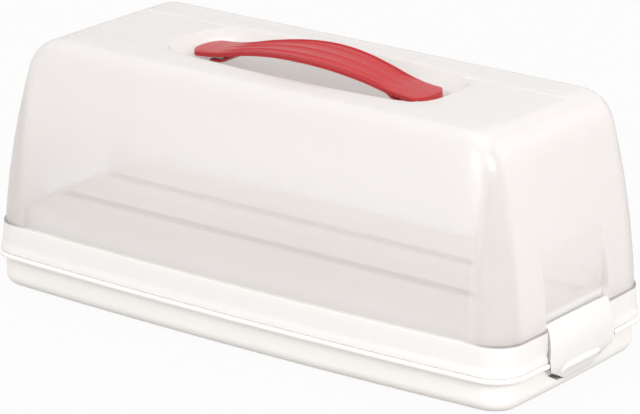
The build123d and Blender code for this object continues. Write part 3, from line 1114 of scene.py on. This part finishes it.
    def build(self, shelf: FinishShelf) -> None:
        """Build the hood with its lugs and bosses, dress them and let them ride on the lid.

        Args:
            shelf: where the finishes come from.
        """
        shell = skin(self.face_rings(0.0)[::-1] + self.face_rings(self.wall))
        finish_mesh(shell, "hood_shell", CURVED_DEGREES)
        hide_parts("lid_shell")
        self.pieces.append(shell)
        right = finish_mesh(self.lug(), "handle_lug_right")
        self.pieces += [right, turned_copy(right, "handle_lug_left")]
        right = finish_mesh(self.bosses(), "hinge_bosses_right")
        self.pieces += [right, turned_copy(right, "hinge_bosses_left")]
        for piece in self.pieces:
            shelf.dress(piece, Finish.MILKY)
            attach(piece, "lid")
            log.info("hood piece %s: %d faces", piece.name, len(piece.data.polygons))


# ---------------------------------------------------------------------------
# Handle
# ---------------------------------------------------------------------------
@dataclass
class Handle:
    """The red strap: an arched channel with ridges, turned-down ends and two spring blades.

    The arch pairs an x with how far the strap lies below its crown there.
    """

    crown_z: float = 160.6
    tip_x: float = 81.6
    half_width: float = 20.2
    waist_half_width: float = 14.6
    tip_half_width: float = 15.0
    waist_x: float = 67.0
    wall: float = 1.9
    side_drop: float = 2.6
    side_tuck: float = 0.8
    end_flare: float = 1.2
    end_start_x: float = 76.5
    end_blend: float = 1.6
    end_drop: Pair = (1.6, 5.2)
    end_spread: float = 0.8
    tongue_reach: float = 0.8
    tip_round_x: float = 60.0
    tip_round: float = 5.4
    ridge_across: float = 13 / 24
    ridge_outer: float = 0.94
    ridge_depth: float = 0.9
    ridge_flank: float = 0.6
    ridge_steepness: float = 24.0
    ridge_end_x: float = 64.0
    ridge_fade: float = 14.0
    camber: float = 0.5
    edge_start: float = 0.9
    edge_width: float = 0.1
    edge_drop: float = 0.35
    smooth_degrees: float = 40.0
    rows: int = 96
    columns: int = 48
    rim_shares: tuple[float, ...] = (0.08, 0.3, 0.65, 1.0)
    arch: tuple[Pair, ...] = (
        (0.0, 0.0), (20.8, 1.2), (41.6, 4.7), (57.2, 8.5), (67.0, 10.2), (76.0, 11.0), (86.0, 11.9),
    )
    arch_beyond: Pair = (10.0, 0.9)
    blade_half_width: float = 10.0
    blade_line: tuple[Pair, ...] = (
        (48.2, 151.8), (51.0, 149.6), (54.6, 147.0), (58.8, 144.4), (62.0, 143.5), (69.2, 143.3),
        (69.2, 144.6), (62.4, 144.8), (59.8, 145.6), (56.2, 147.9), (52.8, 150.4), (50.8, 151.8),
    )

    def fall(self, x: float) -> float:
        """How far the strap lies below its crown, on a smooth line through the arch's points.

        Args:
            x: the place along the strap.

        Returns:
            The fall in millimetres.
        """
        points = self.arch
        x = min(abs(x), points[-1][0])
        index = max(i for i in range(len(points) - 1) if points[i][0] <= x)
        (x0, y0), (x1, y1) = points[index], points[index + 1]
        before = points[index - 1] if index else (-x1, y1)
        after = (x1 + self.arch_beyond[0], y1 + self.arch_beyond[1])
        if index + 2 < len(points):
            after = points[index + 2]
        slope0 = (y1 - before[1]) / (x1 - before[0])
        slope1 = (after[1] - y0) / (after[0] - x0)
        span = x1 - x0
        t = (x - x0) / span
        h00 = 2 * t**3 - 3 * t**2 + 1
        h10 = t**3 - 2 * t**2 + t
        h01 = 3 * t**2 - 2 * t**3
        h11 = t**3 - t**2
        return h00 * y0 + h10 * span * slope0 + h01 * y1 + h11 * span * slope1

    def width_at(self, x: float) -> float:
        """Half width of the strap's top, which narrows to a waist and widens to the tip.

        Args:
            x: the place along the strap.

        Returns:
            The half width in millimetres.
        """
        x = abs(x)
        if x < self.waist_x:
            share = 0.5 - 0.5 * math.cos(math.pi * x / self.waist_x)
            return self.half_width + (self.waist_half_width - self.half_width) * share
        share = min((x - self.waist_x) / (self.tip_x - self.waist_x), 1.0)
        return self.waist_half_width + (self.tip_half_width - self.waist_half_width) * share**2

    def top_place(self, along: float, across: float) -> Point:
        """A point of the strap's top.

        Args:
            along: -1 to 1 from end to end.
            across: -1 to 1 from side to side.

        Returns:
            The point in millimetres.
        """
        x = self.tip_x * along
        closeness = max((abs(x) - self.tip_round_x) / (self.tip_x - self.tip_round_x), 0.0)
        x -= math.copysign(self.tip_round * abs(across) ** 3 * closeness**2, x)
        y = self.width_at(x) * across
        faded = (abs(x) - self.ridge_end_x + self.ridge_fade) / self.ridge_fade
        fade = 1.0 - min(max(faded, 0.0), 1.0)
        if abs(across) < self.ridge_across:
            share = abs(across) / self.ridge_across
        else:
            outer = self.ridge_outer - self.ridge_across
            share = min((abs(across) - self.ridge_across) / outer, 1.0)
        flank = min(min(share, 1 - share) * self.ridge_across * self.ridge_steepness, 1.0)
        dip = self.ridge_depth * (2 * share * (1 - share) + self.ridge_flank * flank) * fade
        rise = self.camber * (1 - across**2)
        edge = self.edge_drop * max(abs(across) - self.edge_start, 0.0) / self.edge_width
        return x, y, self.crown_z - self.camber - self.fall(x) + rise - dip - edge

    def rim_shift(self, place: Vector, share: float) -> Point:
        """Where a point of the rim lies after it is turned down.

        Args:
            place: the point on the rim, in metres.
            share: the share of the way down.

        Returns:
            The new place in millimetres.
        """
        x, y, top = place.x / MM, place.y / MM, place.z / MM
        endness = min(max((abs(x) - self.end_start_x) / self.end_blend, 0.0), 1.0)
        endness = endness**2 * (3 - 2 * endness)
        side = min(abs(y) / self.width_at(x), 1.0)
        middle = max(1 - (side / self.tongue_reach) ** 4, 0.0)
        tongue = self.end_drop[0] + (self.end_drop[1] - self.end_drop[0]) * middle
        side = side**8
        foot = top - self.side_drop * (1 - endness) - tongue * endness
        out = self.end_flare * endness * middle
        tuck = math.copysign(self.side_tuck * (1 - endness), y)
        spread = math.copysign(self.end_spread * endness * side, y)
        return (
            x + math.copysign(out * share, x),
            y + (spread - tuck) * share * side,
            top + (foot - top) * share,
        )

    def strap(self) -> bpy.types.Object:
        """The strap's channel: a grid set on the arch, its rim turned down, then given a wall.

        Returns:
            The mesh object, in object mode.
        """
        deselect_all()
        bpy.ops.mesh.primitive_grid_add(
            x_subdivisions=self.rows, y_subdivisions=self.columns, size=2.0
        )
        piece = bpy.context.active_object
        for vert in piece.data.vertices:
            vert.co = Vector(self.top_place(vert.co.x, vert.co.y)) * MM
        bpy.ops.object.mode_set(mode="EDIT")
        bpy.ops.mesh.select_mode(type="EDGE")
        bpy.ops.mesh.select_all(action="DESELECT")
        bpy.ops.mesh.select_non_manifold()
        rim = [v.co.copy() for v in bmesh.from_edit_mesh(piece.data).verts if v.select]
        for share in self.rim_shares:
            bpy.ops.mesh.extrude_region_move()
            mesh = bmesh.from_edit_mesh(piece.data)
            fresh = [v for v in mesh.verts if v.select]
            for vert, start in zip(fresh, rim):
                vert.co = Vector(self.rim_shift(start, share)) * MM
            bmesh.update_edit_mesh(piece.data)
        bpy.ops.mesh.select_all(action="SELECT")
        bpy.ops.mesh.normals_make_consistent(inside=False)
        bpy.ops.object.mode_set(mode="OBJECT")
        apply_modifier(piece, "SOLIDIFY", thickness=self.wall * MM, offset=-1.0)
        return piece

    def blade(self) -> bpy.types.Object:
        """Spring blade under the +X end, pointing outwards under the lug's head.

        Returns:
            The mesh object, in object mode.
        """
        piece = prism(self.blade_line, -self.blade_half_width, self.blade_half_width)
        soften(piece)
        return piece

    def build(self, shelf: FinishShelf) -> None:
        """Build the handle, dress it and let it ride on the lid.

        Args:
            shelf: where the finishes come from.
        """
        blade = self.blade()
        other = turned_copy(blade, "blade_other")
        whole = join([self.strap(), blade, other])
        piece = finish_mesh(whole, "strap_handle", self.smooth_degrees)
        shelf.dress(piece, Finish.RED)
        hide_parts("handle")
        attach(piece, "lid")
        log.info("handle: %d faces", len(piece.data.polygons))


# ---------------------------------------------------------------------------
# Tray
# ---------------------------------------------------------------------------
@dataclass
class Tray:
    """The white tray: rounded foot, slotted end walls, flange, collar, gutter and platform."""

    face_inset: float = 1.2
    foot_round: float = 6.8
    foot_steps: int = 6
    flange_top_z: float = 21.6
    flange_reach: float = 3.36
    trim_margin: float = 0.1
    notch_half_width: float = 34.9
    notch_z: float = 28.1
    notch_start_x: float = 174.0
    notch_back_x: float = 179.9
    platform_z: float = 46.0
    platform_half_length: float = 172.0
    platform_half_width: float = 61.0
    platform_bow: float = 1.0
    platform_corner: float = 12.0
    platform_round: float = 3.0
    platform_steps: int = 5
    groove_offset: float = 22.4
    groove_half_width: float = 5.0
    groove_half_length: float = 168.0
    groove_depth: float = 2.0
    groove_round: float = 0.2
    cutter_over: float = 5.0
    slot_half_width: float = 28.5
    slot_z: Pair = (7.0, 12.6)
    slot_depth: float = 8.0
    slot_slant: float = 9.9
    slot_over: float = 6.0
    layout: Layout = Layout(
        (0.0, 7.0, 14.0, 21.0, 28.5, 30.0, 32.1, 33.9, 34.1, 34.8, 35.0, 37.0)
    )

    def platform_section(self, z: float, inset: float) -> Section:
        """Section of the raised platform.

        Args:
            z: its height.
            inset: how far inside the platform's foot.

        Returns:
            The section.
        """
        return Section(
            z, self.platform_half_length - inset, self.platform_half_width - inset,
            self.platform_bow, self.platform_bow, self.platform_corner - inset,
        )

    def carve(self, place: Point) -> Point:
        """Trim the flange behind a clip and notch the collar around a clip's hinge.

        Args:
            place: the point in millimetres.

        Returns:
            The moved point.
        """
        x, y, z = place
        on_flange = z < self.flange_top_z + self.trim_margin
        if abs(y) < CLIP_GAP_HALF_WIDTH and on_flange and abs(x) > CLIP_SEAT_X:
            x = math.copysign(CLIP_SEAT_X, x)
        if abs(y) < self.notch_half_width and abs(x) > self.notch_start_x:
            z = min(z, self.notch_z)
            if z > self.flange_top_z + self.trim_margin:
                x = math.copysign(min(abs(x), self.notch_back_x), x)
        return x, y, z

    def wall_levels(self) -> list[Pair]:
        """Levels of the foot, the end walls, the flange, the collar and the gutter.

        Returns:
            A height and an inset of the shared outline for each level.
        """
        levels = []
        for step in range(self.foot_steps + 1):
            angle = math.pi / 2 * step / self.foot_steps
            inset = self.face_inset + self.foot_round * (1 - math.sin(angle))
            levels.append((self.foot_round * (1 - math.cos(angle)), inset))
        face, reach = self.face_inset, -self.flange_reach
        levels += [(self.slot_z[0], face), (self.slot_z[1], face), (18.3, face)]
        levels += [(18.8, face - 0.15), (19.0, face - 0.6), (19.0, reach + 0.9)]
        levels += [(19.25, reach + 0.3), (19.8, reach), (20.8, reach), (21.35, reach + 0.3)]
        levels += [(self.flange_top_z, reach + 0.9), (self.flange_top_z, 1.2)]
        collar = [(21.8, 1.5), (22.4, 1.65), (28.0, 2.0), (36.7, 2.5), (37.2, 2.65), (37.4, 3.05)]
        gutter = [(37.4, 4.45), (37.2, 4.85), (36.7, 5.0), (27.0, 5.1), (26.3, 5.4), (26.0, 6.0)]
        return levels + collar + gutter

    def platform_levels(self) -> list[Pair]:
        """Levels of the platform, from the gutter to its rounded top edge.

        Returns:
            A height and an inset of the platform's outline for each level.
        """
        edge_z = self.platform_z - self.platform_round
        levels = [(26.0, -0.8), (26.3, -0.2), (27.0, 0.0), (edge_z, 0.0)]
        for step in range(1, self.platform_steps + 1):
            angle = math.pi / 2 * step / self.platform_steps
            rise = self.platform_round * math.sin(angle)
            levels.append((edge_z + rise, self.platform_round * (1 - math.cos(angle))))
        return levels

    def rings(self) -> list[list[Point]]:
        """All rings of the tray, from its underside to the platform's top.

        Returns:
            The rings, carved.
        """
        sections = [SHARED.section(z, inset) for z, inset in self.wall_levels()]
        sections += [self.platform_section(z, inset) for z, inset in self.platform_levels()]
        rings = (section.ring(self.layout) for section in sections)
        return [[self.carve(place) for place in ring] for ring in rings]

    def cut(self, piece: bpy.types.Object, cutter: bpy.types.Object) -> None:
        """Cut one shape out of the tray and drop the cutter."""
        apply_modifier(piece, "BOOLEAN", operation="DIFFERENCE", object=cutter, solver="EXACT")
        bpy.data.objects.remove(cutter)

    def cut_slots(self, piece: bpy.types.Object) -> None:
        """Cut the pocket for each clip's hook into the end walls, slanted at its lower corners.

        Args:
            piece: the tray.
        """
        low, high = self.slot_z
        edge = self.slot_half_width
        foot = edge - self.slot_slant
        outline = [(edge, high), (edge, high - 0.3), (edge - 0.5, high - 0.9)]
        outline += [(foot + 0.9, low + 0.2), (foot, low)]
        outline += [(-y, z) for y, z in reversed(outline)]
        reach = (SHARED.half_length - self.slot_depth, SHARED.half_length + self.slot_over)
        for side in (-1, 1):
            self.cut(piece, skin([[(side * x, y, z) for y, z in outline] for x in reach]))

    def cut_grooves(self, piece: bpy.types.Object) -> None:
        """Cut the two long grooves into the platform.

        Args:
            piece: the tray.
        """
        length, width = self.groove_half_length, self.groove_half_width
        low, high = self.platform_z - self.groove_depth, self.platform_z + self.cutter_over
        for side in (-1, 1):
            middle = side * self.groove_offset
            corners = (-length, middle - width, low), (length, middle + width, high)
            self.cut(piece, slab(*corners, self.groove_round))

    def build(self, shelf: FinishShelf) -> None:
        """Build the tray, dress it and let it ride on the base.

        Args:
            shelf: where the finishes come from.
        """
        piece = skin(self.rings())
        self.cut_slots(piece)
        self.cut_grooves(piece)
        finish_mesh(piece, "tray_moulding", CURVED_DEGREES)
        shelf.dress(piece, Finish.WHITE)
        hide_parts("base_tray")
        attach(piece, "base")
        log.info("tray: %d faces", len(piece.data.polygons))


# ---------------------------------------------------------------------------
# Clips
# ---------------------------------------------------------------------------
@dataclass
class Clip:
    """An end clip: pinned top edge, curved plate, finger lip, turned-in foot and hook.

    The widths pair a height with the plate's half width there. The outer and inner lines run
    from the pinned edge down the plate's face and from the hook up its back.
    """

    hinge_x: float = 178.7
    hinge_z: float = 41.0
    pin: float = 1.2
    pin_reach: float = 34.3
    pin_sides: int = 32
    plate_round: float = 0.75
    plate_degrees: float = 50.0
    widths: tuple[Pair, ...] = (
        (6.0, 12.0), (6.8, 13.4), (9.6, 18.8), (11.5, 22.6), (14.6, 29.0), (15.8, 31.3),
        (17.2, 32.8), (19.0, 33.4), (26.5, 33.4), (30.5, 32.6), (33.5, 31.7), (43.0, 31.7),
    )
    outer_line: tuple[Pair, ...] = (
        (178.7, 42.3), (179.8, 42.2), (180.9, 41.7), (181.6, 40.9), (182.1, 39.6), (183.0, 37.0),
        (183.9, 34.0), (184.6, 30.6), (184.95, 27.0), (185.0, 23.0), (185.0, 19.0), (184.9, 17.2),
        (184.6, 15.8), (184.3, 14.6), (183.8, 13.0), (183.4, 11.5), (183.1, 9.6), (182.8, 8.0),
        (182.5, 7.2), (181.9, 6.8), (181.4, 7.2), (181.3, 8.4), (181.2, 9.6), (176.4, 9.6),
        (175.7, 10.3), (175.7, 11.2), (176.3, 12.0),
    )
    inner_line: tuple[Pair, ...] = (
        (180.4, 12.0), (181.1, 12.5), (181.2, 13.8), (181.2, 16.0), (181.2, 18.6), (183.0, 18.8),
        (183.0, 23.0), (182.9, 27.0), (182.5, 30.4), (181.8, 33.4), (180.9, 36.2), (179.8, 38.8),
        (178.7, 39.7),
    )
    lip_section: tuple[Pair, ...] = (
        (-0.4, 4.2), (0.5, 3.0), (1.3, 1.6), (2.0, 0.3), (2.0, -0.2), (1.7, -0.5), (-0.5, -0.7),
    )
    lip_steps: int = 24
    lip_x: float = 184.2
    lip_z: float = 15.0
    lip_half_width: float = 20.6
    lip_slant: float = 0.22
    lip_flat: float = 0.52
    lip_fall: float = 3.6
    lip_curve: float = 0.23
    lip_taper: Pair = (0.08, 9.0)

    def half_width(self, z: float) -> float:
        """Half width of the plate, between the levels in widths.

        Args:
            z: the height in millimetres.

        Returns:
            The half width.
        """
        for (z0, w0), (z1, w1) in zip(self.widths, self.widths[1:]):
            if z <= z1:
                return w0 + (w1 - w0) * max(z - z0, 0.0) / (z1 - z0)
        return self.widths[-1][1]

    def plate(self) -> bpy.types.Object:
        """The plate with its hook, narrowed towards its foot.

        Returns:
            The mesh object, in object mode.
        """
        piece = prism(self.outer_line + self.inner_line, -1.0, 1.0)
        for vert in piece.data.vertices:
            vert.co.y *= self.half_width(vert.co.z / MM)
        apply_modifier(
            piece, "BEVEL", width=self.plate_round * MM, segments=4, limit_method="ANGLE",
            angle_limit=math.radians(self.plate_degrees),
        )
        return piece

    def lip(self) -> bpy.types.Object:
        """Finger lip: an arched ridge, soft above and sharp below.

        Returns:
            The mesh object, in object mode.
        """
        start, rate = self.lip_taper
        rings = []
        for step in range(self.lip_steps + 1):
            along = -1.0 + 2.0 * step / self.lip_steps
            y = self.lip_half_width * math.sin(along * math.pi / 2)
            beyond = max(abs(along) - self.lip_flat, 0.0)
            z = self.lip_z - self.lip_fall * beyond**2 / self.lip_curve
            from_end = min(step, self.lip_steps - step)
            taper = math.sin(math.pi / 2 * min(1.0, start + from_end / rate))
            x = self.lip_x + (z - self.lip_z) * self.lip_slant
            rings.append([(x + dx * taper, y, z + dz * taper) for dx, dz in self.lip_section])
        return skin(rings)

    def build(self, shelf: FinishShelf) -> None:
        """Build both clips, dress them and let each ride on its own body.

        Args:
            shelf: where the finishes come from.
        """
        reach = (-self.pin_reach, self.pin_reach)
        pins = rod(self.hinge_x, self.hinge_z, self.pin, reach, self.pin_sides)
        right = finish_mesh(join([self.plate(), self.lip(), pins]), "clip_right_moulding")
        left = turned_copy(right, "clip_left_moulding")
        for piece, body in ((right, "clip_right"), (left, "clip_left")):
            shelf.dress(piece, Finish.CLIP)
            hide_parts(body)
            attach(piece, body)
            log.info("clip %s: %d faces", piece.name, len(piece.data.polygons))


# ---------------------------------------------------------------------------
# Studio
# ---------------------------------------------------------------------------
@dataclass(frozen=True)
class Lamp:
    """A square soft lamp, in metres and watts."""

    name: str
    place: Point
    size: float
    power: float

    def hang(self, target: Vector) -> None:
        """Hang the lamp in its place.

        Args:
            target: the point it looks at.
        """
        data = bpy.data.lights.new(self.name, "AREA")
        data.size = self.size
        data.energy = self.power
        lamp = bpy.data.objects.new(self.name, data)
        lamp.location = self.place
        lamp.rotation_mode = "QUATERNION"
        lamp.rotation_quaternion = (target - Vector(self.place)).to_track_quat("-Z", "Y")
        bpy.context.scene.collection.objects.link(lamp)


@dataclass
class Studio:
    """Pale floor, soft lamps, even surroundings and the camera."""

    distance: float = 2.1699
    target: Point = (0.00417, 0.0, 0.06653)
    azimuth: float = 35.412
    elevation: float = 18.246
    roll: float = 1.017
    lens: float = 211.16
    sensor: float = 36.0
    sight: float = 50.0
    light_colour: Colour = (1.0, 0.985, 0.965)
    light_strength: float = 0.92
    floor_size: float = 12.0
    floor_z: float = -0.0003
    floor_colour: Colour = (0.42, 0.40, 0.385)
    floor_roughness: float = 0.8
    floor_shine: float = 0.1
    floor_glow: float = 0.95
    lamps: tuple[Lamp, ...] = (
        Lamp("key", (1.95, -0.6, 1.0), 0.9, 22.0),
        Lamp("fill", (0.0, -1.95, 1.0), 1.7, 17.0),
        Lamp("top", (-0.2, 0.5, 2.0), 1.1, 9.0),
    )

    def camera(self) -> None:
        """Place the camera and make it the scene's.

        It stands at the given distance from the target, turned by azimuth, elevation and roll.
        """
        a, e, r = (math.radians(v) for v in (self.azimuth, self.elevation, self.roll))
        back = Vector((math.sin(a) * math.cos(e), -math.cos(a) * math.cos(e), math.sin(e)))
        right = Vector((math.cos(a), math.sin(a), 0.0))
        up = back.cross(right)
        turned_right = right * math.cos(r) + up * math.sin(r)
        turned_up = up * math.cos(r) - right * math.sin(r)
        data = bpy.data.cameras.new("camera")
        data.lens = self.lens
        data.sensor_width = self.sensor
        data.clip_end = self.sight
        camera = bpy.data.objects.new("camera", data)
        bpy.context.scene.collection.objects.link(camera)
        rotation = Matrix((turned_right, turned_up, back)).transposed().to_4x4()
        place = Vector(self.target) + back * self.distance
        camera.matrix_world = Matrix.Translation(place) @ rotation
        bpy.context.scene.camera = camera

    def white_where_seen(self, tree: Tree) -> Socket:
        """A factor that is 1 where the surroundings are seen, directly, in gloss or through glass.

        Args:
            tree: the nodes.

        Returns:
            The factor's socket.
        """
        path = tree.nodes.new("ShaderNodeLightPath")
        rays = ("Is Camera Ray", "Is Glossy Ray", "Is Transmission Ray")
        return combine(tree, "MAXIMUM", *(path.outputs[ray] for ray in rays))

    def surroundings(self) -> None:
        """Even white surroundings that light the object plainly.

        Where they are seen, they are plain white.
        """
        world = bpy.data.worlds.new("surroundings")
        bpy.context.scene.world = world
        world.use_nodes = True
        tree = world.node_tree
        light = tree.nodes["Background"]
        light.inputs["Color"].default_value = (*self.light_colour, 1.0)
        light.inputs["Strength"].default_value = self.light_strength
        seen = tree.nodes.new("ShaderNodeBackground")
        seen.inputs["Strength"].default_value = 1.0
        white = self.white_where_seen(tree)
        mixed = mix_shaders(tree, white, light.outputs["Background"], seen.outputs["Background"])
        tree.links.new(mixed, tree.nodes["World Output"].inputs["Surface"])

    def floor(self) -> None:
        """A large pale floor that keeps the object's shadow.

        Where it is seen, most of it is the surroundings' white.
        """
        deselect_all()
        place = (0.0, 0.0, self.floor_z)
        bpy.ops.mesh.primitive_plane_add(size=self.floor_size, location=place)
        floor = bpy.context.active_object
        floor.name = "floor"
        material = bpy.data.materials.new("floor_white")
        material.use_nodes = True
        tree = material.node_tree
        shader = tree.nodes["Principled BSDF"]
        shader.inputs["Base Color"].default_value = (*self.floor_colour, 1.0)
        shader.inputs["Roughness"].default_value = self.floor_roughness
        shader.inputs["Specular IOR Level"].default_value = self.floor_shine
        glow = tree.nodes.new("ShaderNodeEmission")
        glow.inputs["Strength"].default_value = 1.0
        share = tree.nodes.new("ShaderNodeMath")
        share.operation = "MULTIPLY"
        share.inputs[1].default_value = self.floor_glow
        tree.links.new(self.white_where_seen(tree), share.inputs[0])
        mixed = mix_shaders(
            tree, share.outputs[0], shader.outputs["BSDF"], glow.outputs["Emission"]
        )
        tree.links.new(mixed, tree.nodes["Material Output"].inputs["Surface"])
        floor.data.materials.append(material)

    def build(self) -> None:
        """Set up everything around the object.

        The view transform is the plain one, so that colours show as they are written.
        """
        self.camera()
        self.surroundings()
        self.floor()
        for lamp in self.lamps:
            lamp.hang(Vector(self.target))
        bpy.context.scene.view_settings.view_transform = "Standard"


def main() -> None:
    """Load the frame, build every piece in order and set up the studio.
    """
    logging.basicConfig(level=logging.INFO, format="%(name)s: %(message)s")
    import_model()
    shelf = FinishShelf()
    for assembly in (Tray(), Hood(), Handle(), Clip()):
        assembly.build(shelf)
    Studio().build()


if __name__ == "__main__":
    main()
